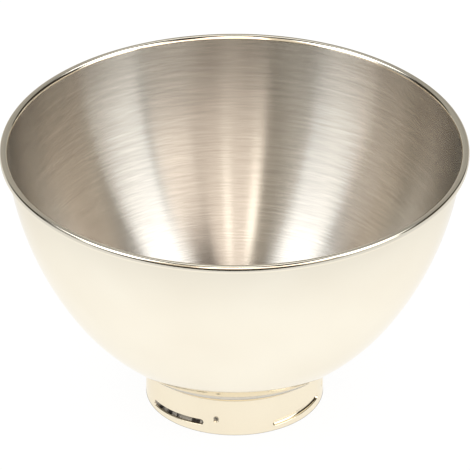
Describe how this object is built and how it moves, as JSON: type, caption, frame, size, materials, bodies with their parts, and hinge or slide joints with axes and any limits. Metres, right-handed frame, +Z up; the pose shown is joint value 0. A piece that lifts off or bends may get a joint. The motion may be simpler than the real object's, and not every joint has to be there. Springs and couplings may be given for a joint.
{
  "type": "stand mixer bowl",
  "caption": "Round polished steel mixer bowl with a rolled rim, on a welded foot ring whose pressed cams lock it to the mixer by a short turn.",
  "frame": {"origin": "on the table, at the middle of the foot ring", "axes": "+Z up along the bowl's axis, -Y towards the side that the picture shows"},
  "size_m": [0.236, 0.236, 0.1423],
  "materials": {
    "bowl_steel": "stainless steel, mirror polished outside, brushed round and round inside",
    "foot_steel": "stainless steel, mirror polished outside"
  },
  "bodies": {
    "root": {"bowl_shell": "bowl_steel", "foot_ring": "foot_steel"}
  },
  "joints": []
}
